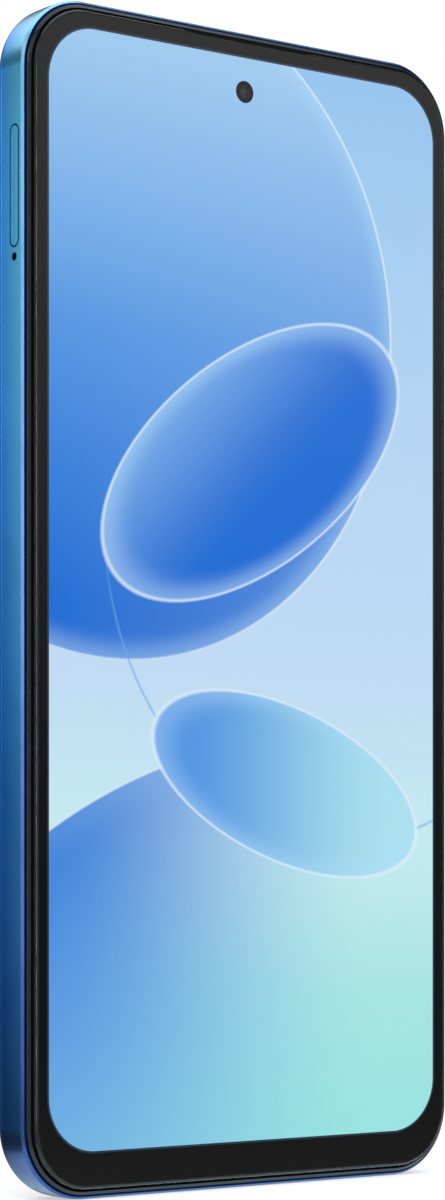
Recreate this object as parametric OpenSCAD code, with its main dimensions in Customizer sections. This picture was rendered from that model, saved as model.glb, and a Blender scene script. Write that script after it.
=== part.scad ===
// Flat-sided smartphone, 6.6-inch class.
// Frame: the phone stands upright. X runs across the screen, Z up along its height and
// +Y from the screen to the back. The origin is the bottom centre of the whole box.
// Depths named d_* are measured from the front surface of the cover glass towards the back.

/* [Body] */
// Width across the side rails
body_w = 75.6; // [74.8:0.1:76.4]
// Height from the bottom edge to the top edge
body_h = 163.6; // [162.8:0.1:164.4]
// Thickness from the glass to the back, without the camera island
body_t = 8.4; // [8.3:0.05:8.6]
// Radius of the four outer corners
corner_r = 10; // [9.5:0.1:10.5]
// Rounding between the side rail and the back
rear_edge_r = 2.2; // [1.6:0.1:2.3]
// Width of the bright chamfer on the front rim of the rail
chamfer_w = 0.38; // [0.3:0.02:0.5]
// Depth of that chamfer
chamfer_d = 0.42; // [0.36:0.02:0.6]
// How far the front rim of the rail lies below the glass
rim_drop = 1.2; // [1.15:0.05:1.25]
// Side wall of the rear cover
cover_wall = 1; // [0.95:0.05:1]
// Back wall of the rear cover
back_wall = 0.8; // [0.7:0.05:0.8]

/* [Display] */
// Width of the lit picture
picture_w = 68.4; // [67.8:0.1:68.8]
// Height of the lit picture
picture_h = 153.1; // [152.4:0.1:153.6]
// Black border above the lit picture, to the outside of the rail
picture_top = 3.85; // [3.7:0.05:4]
// Thickness of the cover glass
glass_t = 0.7; // [0.65:0.05:0.7]
// Gap from the outside of the rail to the edge of the glass
glass_inset = 1.45; // [1.4:0.05:1.6]
// Diameter of the round opening in the picture for the front camera
punch_d = 3.1; // [2.8:0.1:3.3]
// Sideways place of that opening
punch_x = -0.9; // [-1.2:0.1:0]
// Distance from the top of the picture to the middle of that opening
punch_drop = 4.9; // [4.7:0.1:5.1]
// Width of the earpiece slit above the glass
slit_w = 25; // [20:0.5:26]

/* [SIM tray] */
// Length of the tray face along the rail
tray_face_len = 16.4; // [16:0.1:16.6]
// Width of the tray face across the rail
tray_face_w = 1.9; // [1.8:0.05:1.95]
// Depth of the middle of the tray face below the glass
tray_face_depth = 3.14; // [3.1:0.01:3.16]
// Height of the middle of the tray above the bottom edge
tray_mid_z = 137.5; // [137.3:0.1:137.7]
// Diameter of the eject pin hole
pin_hole_d = 1; // [0.8:0.05:1.1]
// Distance from the middle of the tray to the eject pin hole
pin_hole_drop = 9.6; // [9.5:0.1:9.7]

/* [Side keys] */
// Height of the middle of the power key
power_z = 93; // [91:0.5:95]
// Length of the power key
power_len = 16; // [14:0.5:17]
// Height of the middle of the volume key
volume_z = 117; // [116.5:0.5:117.5]
// Length of the volume key
volume_len = 20; // [18:0.5:20.5]
// Width of both keys across the rail
key_w = 2.2; // [2:0.1:2.2]
// How far the keys stand out of the rail
key_proud = 0.35; // [0.25:0.05:0.4]

/* [Sockets in the bottom edge] */
// Bore of the headphone socket
jack_bore_d = 3.55; // [3.5:0.05:3.6]
// Depth of the headphone bore
jack_bore_len = 14; // [13:0.5:14.2]
// Sideways place of the headphone socket
jack_x = -24; // [-24.4:0.1:-23.6]
// Width of the USB-C mouth
usb_mouth_w = 8.34; // [8.3:0.02:8.4]
// Height of the USB-C mouth
usb_mouth_h = 2.56; // [2.5:0.02:2.6]
// Diameter of each loudspeaker hole
grille_hole_d = 1.3; // [1:0.1:1.5]
// Number of loudspeaker holes
grille_holes = 6; // [4:1:6]

/* [Rear cameras] */
// How far the lens rings stand out of the back
bump_h = 1.2; // [1.15:0.05:1.25]
// How far the camera island plate stands out of the back
island_h = 0.8; // [0.7:0.05:0.9]
// Sideways place of both rear lenses
lens_x = 20; // [19.6:0.1:20.4]
// Height of the upper, main lens
main_lens_z = 147.6; // [147.3:0.1:147.9]
// Height of the lower lens
second_lens_z = 126.6; // [126.3:0.1:126.9]
// Outer radius of the lens rings
ring_r = 6.6; // [6.2:0.1:6.8]

/* [Hidden] */
$fn = 64;
eps = 0.01;
front_y = -(body_t + bump_h) / 2;
mid_z = body_h / 2;
rail_x = body_w / 2;

// Depths of the layers between the glass and the back
d_ledge = glass_t + 0.2;
d_panel = glass_t + 0.8;
d_light = glass_t + 1.5;
d_plate = 2.3;
d_plate_back = 2.9;
d_board = 4.3;
d_board_back = 5.1;
d_sub = 4.6;
d_sub_back = 5.2;
d_frame_back = 6.8;
d_inner_back = body_t - back_wall;
d_flat_end = body_t - rear_edge_r;

// Black ring of the mid frame that shows between the glass and the rail
ring_front = 0.75;
ring_slope_d = 1.05;
ring_step_d = 1.95;
ring_inset = 0.7;
ring_lip_inset = 1.1;
frame_inset = cover_wall + 0.05;
frame_wall_in = 2;
cover_lip_inset = 0.65;

// Display panel and the pocket that holds it
panel_margin = 0.8;
panel_top_margin = 0.65;
panel_foot = 2.05;
panel_w = picture_w + 2 * panel_margin;
panel_top = body_h - picture_top + panel_top_margin;
panel_bottom = body_h - picture_top - picture_h - panel_foot;
panel_h = panel_top - panel_bottom;
panel_mid_z = (panel_top + panel_bottom) / 2;
panel_r = 7.2;
punch_z = body_h - picture_top - punch_drop;

// SIM tray, eject rod and lever
tray_clear = 0.08;
tray_plate_w = 15.2;
tray_d0 = 3.2;
tray_d1 = 4.1;
tray_end_x = 0.4;
tray_head = 1.25;
rod_z = tray_mid_z - pin_hole_drop;
rod_half = 0.6;
rod_end_x = 2.25;
rod_head_x = -35;
lever_x = 3.2;
lever_z = rod_z + 4.1;
lever_low = 4.8;
lever_up = 6;
lever_half = 0.6;

// Side keys: depth of their middle, and their layers inwards from the rail
key_d = 4.3;
key_slot_gap = 0.12;
flange_extra = 0.8;
dome_h = 0.3;
dome_r = 1.2;
dome_base_inset = 2.35;
flex_t = 0.15;
key_window_z0 = power_z - power_len / 2 - 1.2;
key_window_z1 = volume_z + volume_len / 2 + 1.2;
volume_dome_arm = 7;

// Sockets
port_d = 4.4;
jack_d = 4.6;
usb_wall = 0.3;
grille_x0 = 11.2;
grille_step = 2.4;
mic_x = -12;

// Vibration motor
motor_x = -28.5;
motor_z = 22.3;
motor_r = 4;

// Rear cameras
island_mid_z = (main_lens_z + second_lens_z) / 2 - 0.5;
island_w = 26.4;
island_len = 46;
island_r = 7;
flash_x = lens_x + 7.8;
flash_z = (main_lens_z + second_lens_z) / 2;
flash_r = 2.22;
flash_hole_r = 2.3;
back_hole_r = 4.9;

// Places of the fasteners, as [x, z]
BOARD_SCREWS = [[-31.5, 123], [-31.5, 152], [-13, 156.5], [10.8, 156.8], [31.5, 150], [31.5, 122.5],
                [2.2, 122.3]];
LOWER_SCREWS = [[-17.5, 24], [4, 24], [-17.5, 11], [4, 13]];
screw_r = 0.7;
screw_head_r = 1.1;
screw_fit = 0.02;

// ---------------------------------------------------------------- shapes that repeat

// A box given by its sides in X, Z and depth
module block(x0, x1, z0, z1, d0, d1) {
    translate([x0, front_y + d0, z0]) cube([x1 - x0, d1 - d0, z1 - z0]);
}

// A 2D outline drawn in X and Z, as thick as the stretch of depth from d0 to d1
module layer(d0, d1) {
    translate([0, front_y + d1, 0]) rotate([90, 0, 0]) linear_extrude(d1 - d0) children();
}

// A round bar along the depth
module bar_y(x, z, d0, d1, r) {
    translate([x, front_y + d1, z]) rotate([90, 0, 0]) cylinder(h = d1 - d0, r = r);
}

// A round bar across the phone
module bar_x(x0, x1, z, d, r) {
    translate([x0, front_y + d, z]) rotate([0, 90, 0]) cylinder(h = x1 - x0, r = r);
}

// A round bar along the height
module bar_z(x, z0, z1, d, r) {
    translate([x, front_y + d, z0]) cylinder(h = z1 - z0, r = r);
}

// A rectangle with round corners, centred
module round_rect(w, h, r) {
    square([w - 2 * r, h], center = true);
    square([w, h - 2 * r], center = true);
    for (sx = [-1, 1], sz = [-1, 1]) translate([sx * (w / 2 - r), sz * (h / 2 - r)]) circle(r);
}

// The outline of the phone, drawn in by a distance
module plan(inset) {
    translate([0, mid_z]) round_rect(body_w - 2 * inset, body_h - 2 * inset, corner_r - inset);
}

// A square frame of round corners about a centre, as thick as the stretch of depth
module tile(x, z, w, h, r, d0, d1) {
    layer(d0, d1) translate([x, z]) round_rect(w, h, r);
}

// A slot with round ends through the bottom edge, its length along X
module bottom_slot(x, z0, z1, d, w, h) {
    for (s = [-1, 1]) bar_z(x + s * (w - h) / 2, z0, z1, d, h / 2);
    block(x - (w - h) / 2, x + (w - h) / 2, z0, z1, d - h / 2, d + h / 2);
}

// A slot with round ends through a side rail, its length along Z
module side_slot(x0, x1, z, d, len, w) {
    for (s = [-1, 1]) bar_x(x0, x1, z + s * (len - w) / 2, d, w / 2);
    block(x0, x1, z - (len - w) / 2, z + (len - w) / 2, d - w / 2, d + w / 2);
}

// The whole outline of the phone with one edge section all round. The section's points are
// [distance drawn in, depth], from the front to the back.
module edged_slab(section) {
    first = section[0];
    last = section[len(section) - 1];
    outline = concat([[0, first[1]]], [for (p = section) [corner_r - p[0], p[1]]], [[0, last[1]]]);
    cx = rail_x - corner_r;
    cz = mid_z - corner_r;
    translate([0, front_y, mid_z]) {
        translate([-cx, first[1], -cz]) cube([2 * cx, last[1] - first[1], 2 * cz]);
        for (side = [0, 1]) {
            mirror([side, 0, 0]) translate([cx, 0, -cz]) linear_extrude(2 * cz) polygon(outline);
            mirror([0, 0, side]) translate([cx, 0, cz]) rotate([0, -90, 0])
                linear_extrude(2 * cx) polygon(outline);
            for (end = [0, 1])
                mirror([side, 0, 0]) mirror([0, 0, end]) translate([cx, 0, -cz])
                    rotate([-90, 0, 0]) rotate_extrude(angle = 90) polygon(outline);
        }
    }
}

// A flat screw: its head outwards, its shank forwards
module screw(x, z, d0, d_head) {
    bar_y(x, z, d_head, d_head + 0.4, screw_head_r);
    bar_y(x, z, d0, d_head, screw_r);
}

// ---------------------------------------------------------------- casing

module rear_cover() {
    rear_arc = [for (a = [0:15:90]) [rear_edge_r * (1 - cos(a)), d_flat_end + rear_edge_r * sin(a)]];
    color("royalblue") difference() {
        edged_slab(concat([[chamfer_w, rim_drop], [0, rim_drop + chamfer_d]], rear_arc));
        layer(rim_drop - eps, ring_step_d + 0.05) plan(cover_lip_inset);
        layer(ring_step_d, d_inner_back) plan(cover_wall);
        // Mouth of the SIM tray and the eject pin hole
        side_slot(-rail_x - 1, -rail_x + cover_wall + 0.4, tray_mid_z, tray_face_depth,
                  tray_face_len + 2 * tray_clear, tray_face_w + 2 * tray_clear);
        bar_x(-rail_x - 1, -rail_x + cover_wall + 0.4, rod_z, tray_face_depth, pin_hole_d / 2);
        // Key slots
        side_slot(rail_x - cover_wall - 0.4, rail_x + 1, power_z, key_d,
                  power_len + 2 * key_slot_gap, key_w + 2 * key_slot_gap);
        side_slot(rail_x - cover_wall - 0.4, rail_x + 1, volume_z, key_d,
                  volume_len + 2 * key_slot_gap, key_w + 2 * key_slot_gap);
        // Sockets and sound holes in the bottom edge
        bar_z(jack_x, -1, cover_wall + 0.4, jack_d, 2.4);
        bottom_slot(0, -1, cover_wall + 0.4, port_d, usb_mouth_w + 2 * usb_wall + 0.16,
                    usb_mouth_h + 2 * usb_wall + 0.16);
        bar_z(mic_x, -1, cover_wall + 0.4, port_d, 0.5);
        grille_cutters(-1, cover_wall + 0.4);
        // Lens and flash openings in the back
        for (z = [main_lens_z, second_lens_z]) bar_y(lens_x, z, d_inner_back - 1, body_t + 1, back_hole_r);
        bar_y(flash_x, flash_z, d_inner_back - 1, body_t + 1, flash_hole_r);
    }
}

module grille_cutters(z0, z1) {
    for (i = [0:grille_holes - 1]) bar_z(grille_x0 + i * grille_step, z0, z1, port_d, grille_hole_d / 2);
}

module screw_boss(place, d1, r) {
    bar_y(place[0], place[1], d_plate, d1, r);
}

module mid_frame() {
    color("dimgray") difference() {
        union() {
            difference() {
                edged_slab([[ring_lip_inset, ring_front], [ring_inset, ring_slope_d],
                            [ring_inset, ring_step_d], [frame_inset, ring_step_d],
                            [frame_inset, d_frame_back]]);
                // Room for the glass, and the pocket for the display behind its ledge
                layer(0, d_ledge) plan(ring_lip_inset);
                tile(0, panel_mid_z, panel_w + 0.1, panel_h + 0.1, panel_r,
                     d_ledge - eps, d_plate);
                // Room for everything behind the plate
                layer(d_plate_back, d_frame_back + 1) plan(frame_wall_in);
            }
            for (s = BOARD_SCREWS) screw_boss(s, d_board, 1.6);
            for (s = LOWER_SCREWS) screw_boss(s, d_sub, 1.5);
            // Ribs above and below the battery, and the wall behind the side keys
            block(-31.5, 31.5, 29.2, 30, d_plate, 5.1);
            block(-31.5, 31.5, 118.1, 118.7, d_plate, 4.6);
            block(rail_x - 3.2, rail_x - 2.5, key_window_z0 - 1, key_window_z1 + 1, d_plate, 5.05);
            // Fulcrum of the volume key
            block(rail_x - 2.6, rail_x - 1.75, volume_z - 0.3, volume_z + 0.3, 3.5, 5);
        }
        for (s = concat(BOARD_SCREWS, LOWER_SCREWS)) bar_y(s[0], s[1], 3, 6, screw_r + screw_fit);
        // Window for the keys, leaving the fulcrum
        block(rail_x - 2.5, rail_x + 1, key_window_z0, volume_z - 0.3, 3, 6.2);
        block(rail_x - 2.5, rail_x + 1, volume_z + 0.3, key_window_z1, 3, 6.2);
        block(rail_x - 1.75, rail_x + 1, volume_z - 1, volume_z + 1, 3, 6.2);
        // Mouth of the tray, and the passage of the eject rod
        block(-rail_x - 1, -rail_x + 2.6, tray_mid_z - tray_plate_w / 2 - 1.1,
              tray_mid_z + tray_plate_w / 2 + 1.1, 2.05, 4.5);
        bar_x(-rail_x - 1, -rail_x + 2.6, rod_z, tray_face_depth, pin_hole_d / 2);
        // Sockets, microphone and loudspeaker in the bottom edge
        block(jack_x - 3, jack_x + 3, -1, 15.2, 2.25, 7);
        block(-4.7, 4.7, -1, 8.6, port_d - 1.68, 6.2);
        bar_z(mic_x, -1, 3, port_d, 0.5);
        grille_cutters(-1, 3);
        block(grille_x0 - 1.4, grille_x0 + (grille_holes - 1) * grille_step + 1.4, 0.9, 1.3, 3.4, 5.4);
        // Slot for the display flex
        block(-15.7, -8.8, panel_bottom - 0.6, panel_bottom, 0.8, 3);
        // Opening for the front camera, and the sound path of the earpiece
        block(punch_x - 3.2, punch_x + 3.2, punch_z - 3.2, punch_z + 3.2, 2, 3);
        block(-5, 5, panel_top + 0.1, body_h - 1.9, 0.5, 3);
        block(-slit_w / 2, slit_w / 2, body_h - 2.1, body_h - 1.1, 0.7, 1.05);
    }
}

module cover_glass() {
    color("lightblue") difference() {
        edged_slab([[glass_inset + 0.55, 0], [glass_inset + 0.28, 0.06], [glass_inset + 0.1, 0.18],
                    [glass_inset, 0.38], [glass_inset, glass_t]]);
        // Shallow notch that makes the earpiece slit
        tile(0, body_h - glass_inset, slit_w, 0.6, 0.29, -1, 1);
    }
}

// ---------------------------------------------------------------- display

module display_panel() {
    color("cornflowerblue") difference() {
        tile(0, panel_mid_z, panel_w, panel_h, panel_r, glass_t, d_panel);
        bar_y(punch_x, punch_z, 0, 3, punch_d / 2 + 0.2);
    }
}

module backlight() {
    color("white") difference() {
        tile(0, panel_mid_z, panel_w - 0.4, panel_h - 0.4, panel_r - 0.2, d_panel,
             d_light);
        bar_y(punch_x, punch_z, 0, 3, punch_d / 2 + 0.3);
    }
}

module display_tape() {
    color("black") difference() {
        layer(glass_t, d_ledge) plan(glass_inset + 0.15);
        tile(0, panel_mid_z, panel_w + 0.2, panel_h + 0.2, panel_r, 0, 2);
        block(-slit_w / 2 - 0.3, slit_w / 2 + 0.3, panel_top + 0.05, body_h, 0, 2);
    }
}

module display_flex() {
    color("goldenrod") {
        z0 = panel_bottom - 0.35;
        block(-15.5, -9, z0, panel_bottom, glass_t + 0.3, glass_t + 0.42);
        block(-15.5, -9, z0, z0 + 0.12, glass_t + 0.3, 3.12);
        block(-15.5, -9, z0, 22, 3, 3.12);
    }
}

// ---------------------------------------------------------------- top edge of the front

module earpiece_mesh() {
    color("black") block(-slit_w / 2 + 0.1, slit_w / 2 - 0.1, body_h - 1.85, body_h - 1.15, 0.78, 0.9);
}

module earpiece_case() {
    color("silver") difference() {
        block(-7, 7, 158.3, 161.3, 3, 5.4);
        block(-6.4, 6.4, 158.8, 160.8, 2, 4.9);
    }
}

module earpiece_diaphragm() {
    color("gainsboro") {
        block(-6.25, 6.25, 158.95, 160.65, 3.5, 3.62);
        block(-3, 3, 159.3, 160.3, 3.62, 4.2);
    }
}

module front_camera() {
    color("black") {
        bar_y(punch_x, punch_z, 0.75, 2.4, 1.35);
        tile(punch_x, punch_z, 5.8, 5.8, 0.6, 2.4, 4.2);
    }
}

// ---------------------------------------------------------------- main board

module main_board() {
    color("darkgreen") difference() {
        intersection() {
            layer(d_board, d_board_back) plan(3.5);
            block(-40, 40, 119, 170, 0, 9);
        }
        block(-7.4, 7.4, 157.9, 170, 0, 9);
        block(punch_x - 3.4, punch_x + 3.4, punch_z - 3.3, 170, 0, 9);
        tile(lens_x, main_lens_z, 9.4, 9.4, 0.5, 0, 9);
        tile(lens_x, second_lens_z, 6.8, 6.8, 0.5, 0, 9);
        for (s = BOARD_SCREWS) bar_y(s[0], s[1], 0, 9, 0.9);
    }
}

module soc_shield() {
    color("silver") tile(-15.5, 139, 25, 24, 0.6, d_board_back, 6.1);
}

module rf_shield() {
    color("silver") tile(-18.7, 122.7, 17.6, 5.8, 0.6, d_board_back, 6);
}

module board_chips() {
    color("dimgray") {
        tile(12, 140, 6, 11, 0.3, 3.2, d_board);
        tile(9, 135, 9, 12, 0.3, d_board_back, 5.9);
        tile(9, 147, 8, 6, 0.3, d_board_back, 5.8);
        tile(28.2, 128.5, 5.6, 8, 0.3, d_board_back, 5.8);
        tile(-22, 155, 10, 3.4, 0.3, d_board_back, 5.7);
    }
}

module board_cover() {
    color("dimgray") difference() {
        union() {
            intersection() {
                layer(6.3, 6.9) plan(2.3);
                block(-40, 40, 118.9, 170, 0, 9);
            }
            for (s = BOARD_SCREWS) bar_y(s[0], s[1], d_board_back, 6.5, 1.5);
        }
        tile(lens_x, main_lens_z, 9.6, 9.6, 0.5, 0, 9);
        tile(lens_x, second_lens_z, 7, 7, 0.5, 0, 9);
        bar_y(flash_x, flash_z, 0, 9, 2.6);
        for (s = BOARD_SCREWS) bar_y(s[0], s[1], 0, 9, 0.9);
    }
}

module board_screws() {
    color("silver") for (s = BOARD_SCREWS) screw(s[0], s[1], 3.1, 6.9);
}

module graphite_sheet() {
    color("black") tile(0, 73, 58, 76, 3, 7.46, 7.54);
}

// ---------------------------------------------------------------- battery

module battery() {
    color("dimgray") {
        tile(0, 73, 62, 84, 2, 3.1, 7.3);
        block(-26, 26, 114.9, 117.6, 3.3, 5);
    }
}

module battery_tape() {
    color("white") for (x = [-16, 16]) tile(x, 73, 14, 70, 1, d_plate_back, 3.1);
}

module battery_flex() {
    color("goldenrod") {
        block(5, 12.5, 115.3, 118.95, 5, 5.12);
        block(5, 12.5, 118.83, 124, d_board_back, 5.22);
        block(5.6, 11.9, 121.4, 123.6, 5.22, 5.9);
    }
}

// ---------------------------------------------------------------- lower board

module sub_board() {
    color("darkgreen") difference() {
        block(-20.5, 6.5, 3.6, 28.6, d_sub, d_sub_back);
        block(-5, 5, 0, 8.6, 0, 9);
        for (s = LOWER_SCREWS) bar_y(s[0], s[1], 0, 9, 0.9);
    }
}

module board_flex() {
    color("goldenrod") {
        block(-8.5, -0.5, 22, 30.6, d_sub_back, 5.34);
        block(-8.5, -0.5, 30.5, 30.64, d_sub_back, 7.44);
        block(-8.5, -0.5, 30.5, 118.02, 7.32, 7.44);
        block(-8.5, -0.5, 117.9, 118.02, d_board_back, 7.44);
        block(-8.5, -0.5, 117.9, 123.6, d_board_back, 5.22);
    }
}

// Thin coaxial cable beside the battery, with its two snap connectors
module antenna_cable() {
    x = -33.3;
    bend = 3;
    z_low = 27.6;
    z_top = 121;
    d = 5.7;
    r = 0.4;
    color("gray") {
        bar_x(x + bend, -14, z_low, d, r);
        translate([x + bend, front_y + d, z_low + bend]) rotate([90, 0, 0])
            rotate([0, 0, 180]) rotate_extrude(angle = 90) translate([bend, 0]) circle(r);
        bar_z(x, z_low + bend, z_top, d, r);
        bar_y(-14, z_low, d_sub_back, d + 0.4, 0.9);
        bar_y(x, z_top, d_board_back, d + 0.4, 0.9);
    }
}

module lower_screws() {
    color("silver") for (s = LOWER_SCREWS) screw(s[0], s[1], 3.1, d_sub_back);
}

module usb_port() {
    color("silver") difference() {
        bottom_slot(0, 0.3, 8.4, port_d, usb_mouth_w + 2 * usb_wall, usb_mouth_h + 2 * usb_wall);
        bottom_slot(0, -1, 8, port_d, usb_mouth_w, usb_mouth_h);
    }
}

module usb_tongue() {
    color("black") {
        block(-3.34, 3.34, 1.6, 8, port_d - 0.35, port_d + 0.35);
        block(-3.8, 3.8, 7, 8, port_d - 0.8, port_d + 0.8);
    }
}

module headphone_jack() {
    color("black") difference() {
        union() {
            bar_z(jack_x, 0.25, 2, jack_d, 2.28);
            block(jack_x - 2.9, jack_x + 2.9, 1.2, 15, jack_d - 2.25, jack_d + 2.25);
        }
        bar_z(jack_x, -1, 0.25 + jack_bore_len, jack_d, jack_bore_d / 2);
    }
}

module bottom_mic() {
    color("silver") block(mic_x - 1.8, mic_x + 1.8, 3.6, 6.4, 3.6, d_sub);
}

module mic_boot() {
    color("black") difference() {
        block(mic_x - 1.5, mic_x + 1.5, 2.1, 3.5, 3.4, 5.4);
        bar_z(mic_x, 0, 5, port_d, 0.5);
    }
}

// ---------------------------------------------------------------- loudspeaker

module speaker_outline(inset, d0, d1) {
    intersection() {
        layer(d0, d1) plan(2.3 + inset);
        block(7.5 + inset, 34.6 - inset, 2.3 + inset, 28 - inset, d0, d1);
    }
}

module speaker_box() {
    color("dimgray") difference() {
        speaker_outline(0, 3, 6.6);
        speaker_outline(0.7, 3.7, 7);
        grille_cutters(0, 4);
    }
}

module speaker_lid() {
    color("dimgray") speaker_outline(0, 6.6, 7.2);
}

module speaker_magnet() {
    color("silver") tile(21, 16.5, 12, 8, 1, 5.75, 6.6);
}

module speaker_diaphragm() {
    color("lightgray") {
        tile(21, 16.5, 15.6, 11.6, 2, 4.25, 4.4);
        difference() {
            tile(21, 16.5, 11, 7, 1, 4.4, 5.3);
            tile(21, 16.5, 10.2, 6.2, 0.8, 4.4, 6);
        }
    }
}

module speaker_mesh() {
    color("black")
        block(grille_x0 - 1.3, grille_x0 + (grille_holes - 1) * grille_step + 1.3, 1.05, 1.2, 3.5, 5.3);
}

// ---------------------------------------------------------------- vibration motor

module vibration_case() {
    color("silver") {
        difference() {
            bar_y(motor_x, motor_z, 3, 6.2, motor_r);
            bar_y(motor_x, motor_z, 3.25, 5.95, motor_r - 0.25);
        }
        bar_y(motor_x, motor_z, 3, 6.2, 0.35);
    }
}

// Half-disc weight that turns round the fixed pin
module vibration_rotor() {
    color("tan") difference() {
        union() {
            intersection() {
                bar_y(motor_x, motor_z, 3.6, 5.6, motor_r - 0.6);
                block(motor_x - motor_r, motor_x + motor_r, motor_z - motor_r, motor_z, 3, 6);
            }
            bar_y(motor_x, motor_z, 3.6, 5.6, 0.9);
        }
        bar_y(motor_x, motor_z, 3, 6, 0.4);
    }
}

// ---------------------------------------------------------------- rear cameras

// A round-cornered plate whose outer edge is stepped in near its face
module edged_tile(x, z, w, h, r, d0, d1) {
    tile(x, z, w, h, r, d0, d1 - 0.2);
    tile(x, z, w - 0.4, h - 0.4, r - 0.2, d1 - 0.2, d1);
}

module camera_island() {
    color("midnightblue") difference() {
        edged_tile(lens_x, island_mid_z, island_w, island_len, island_r, body_t, body_t + island_h);
        for (z = [main_lens_z, second_lens_z]) bar_y(lens_x, z, 0, 12, ring_r + 0.05);
        bar_y(flash_x, flash_z, 0, 12, flash_hole_r);
    }
}

module camera_rings() {
    color("silver") for (z = [main_lens_z, second_lens_z]) difference() {
        bar_y(lens_x, z, body_t, body_t + bump_h, ring_r);
        bar_y(lens_x, z, body_t - 1, body_t + 0.5, back_hole_r);
        bar_y(lens_x, z, body_t + 0.45, 12, ring_r - 1);
    }
}

module camera_windows() {
    color("black") for (z = [main_lens_z, second_lens_z])
        bar_y(lens_x, z, body_t + 0.5, body_t + bump_h - 0.2, ring_r - 1.03);
}

module main_camera() {
    color("dimgray") difference() {
        tile(lens_x, main_lens_z, 8.8, 8.8, 0.6, 3, 7.4);
        bar_y(lens_x, main_lens_z, 4.2, 8, 3.3);
    }
}

module autofocus_lens() {
    color("black") bar_y(lens_x, main_lens_z, 4.5, 8, 3.22);
}

module second_camera() {
    color("black") {
        tile(lens_x, second_lens_z, 6.2, 6.2, 0.5, 3.2, 6.4);
        bar_y(lens_x, second_lens_z, 6.4, 8.2, 2.6);
    }
}

module flash_led() {
    color("khaki") tile(flash_x, flash_z, 3, 3, 0.3, d_board_back, 6);
}

module flash_window() {
    color("white") bar_y(flash_x, flash_z, 7.2, body_t + island_h, flash_r);
}

// ---------------------------------------------------------------- SIM tray

module sim_tray() {
    x0 = -rail_x + tray_head;
    half = tray_plate_w / 2;
    color("steelblue") difference() {
        union() {
            side_slot(-rail_x, x0, tray_mid_z, tray_face_depth, tray_face_len, tray_face_w);
            block(x0 - eps, tray_end_x, tray_mid_z - half, tray_mid_z + half, tray_d0, tray_d1);
        }
        // Two SIM pockets and one memory card pocket, each with a window in its floor
        card_pocket(-35.1, 8.8, 12.3);
        card_pocket(-25.3, 8.8, 12.3);
        card_pocket(-15.5, 15, 11.1);
    }
}

module card_pocket(x0, len, w) {
    block(x0, x0 + len, tray_mid_z - w / 2, tray_mid_z + w / 2, tray_d0 + 0.2, tray_d1 + 1);
    block(x0 + 0.7, x0 + len - 0.7, tray_mid_z - w / 2 + 0.7, tray_mid_z + w / 2 - 0.7, 0, tray_d1);
}

// Sheet metal cage on the front of the main board, open towards the rail
module sim_socket() {
    half = tray_plate_w / 2 + 0.15;
    color("silver") difference() {
        block(-35.1, tray_end_x - 0.15, tray_mid_z - half - 0.15, tray_mid_z + half + 0.15,
              d_plate_back + 0.05, d_board);
        block(-36, 5, tray_mid_z - half, tray_mid_z + half, 3.1, 5);
    }
}

module eject_rod() {
    color("silver") block(rod_head_x, rod_end_x, rod_z - rod_half, rod_z + rod_half, 3, 3.9);
}

module eject_lever() {
    color("silver") difference() {
        layer(3.1, 3.95) union() {
            translate([lever_x - lever_half, lever_z - lever_low])
                square([2 * lever_half, lever_low + lever_up]);
            translate([lever_x, lever_z]) circle(1.1);
        }
        bar_y(lever_x, lever_z, 2, 5, 0.45);
    }
}

module lever_pin() {
    color("silver") {
        bar_y(lever_x, lever_z, d_plate_back + 0.05, d_board, 0.4);
    }
}

// ---------------------------------------------------------------- side keys

// A key: its head through the rail, its flange inside and its push points
module side_key(z, len, gap, back, points) {
    side_slot(rail_x - gap - 0.2, rail_x + key_proud, z, key_d, len, key_w);
    block(rail_x - back, rail_x - gap, z - len / 2 - flange_extra, z + len / 2 + flange_extra, 3.15, 5.45);
    for (p = points) bar_x(rail_x - dome_base_inset + dome_h, rail_x - gap - 0.2, p, key_d, 0.8);
}

module power_key() {
    color("royalblue") difference() {
        side_key(power_z, power_len, cover_wall + 0.1, 1.55, [power_z]);
        side_slot(rail_x + key_proud - 0.2, rail_x + 1, power_z, key_d, power_len - 2.4, key_w - 0.6);
    }
}

module fingerprint_sensor() {
    color("black") side_slot(rail_x + key_proud - 0.2, rail_x + key_proud - 0.05, power_z, key_d,
                             power_len - 2.5, key_w - 0.7);
}

module volume_key() {
    color("royalblue") side_key(volume_z, volume_len, cover_wall + 0.3, 1.7,
                                [volume_z - volume_dome_arm, volume_z + volume_dome_arm]);
}

module side_flex() {
    x0 = rail_x - dome_base_inset - flex_t;
    color("goldenrod") difference() {
        union() {
            block(x0, x0 + flex_t, key_window_z0 + 0.1, key_window_z1 - 0.2, 3.2, 5.25);
            block(31.4, x0 + flex_t, 125, key_window_z1 - 0.2, d_board_back, 5.25);
        }
        block(x0 - 1, x0 + 1, volume_z - 0.4, volume_z + 0.4, 3.1, 5.1);
    }
}

// A shallow metal dome on the flex, its top towards the key
module dome(z) {
    arc = [for (a = [0:15:90]) [dome_r * cos(a), dome_h * sin(a)]];
    translate([rail_x - dome_base_inset, front_y + key_d, z]) rotate([0, 90, 0])
        rotate_extrude() polygon(concat([[0, 0]], arc));
}

module power_dome() {
    color("silver") dome(power_z);
}

module volume_domes() {
    color("silver") for (s = [-1, 1]) dome(volume_z + s * volume_dome_arm);
}

// ---------------------------------------------------------------- the whole phone

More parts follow.
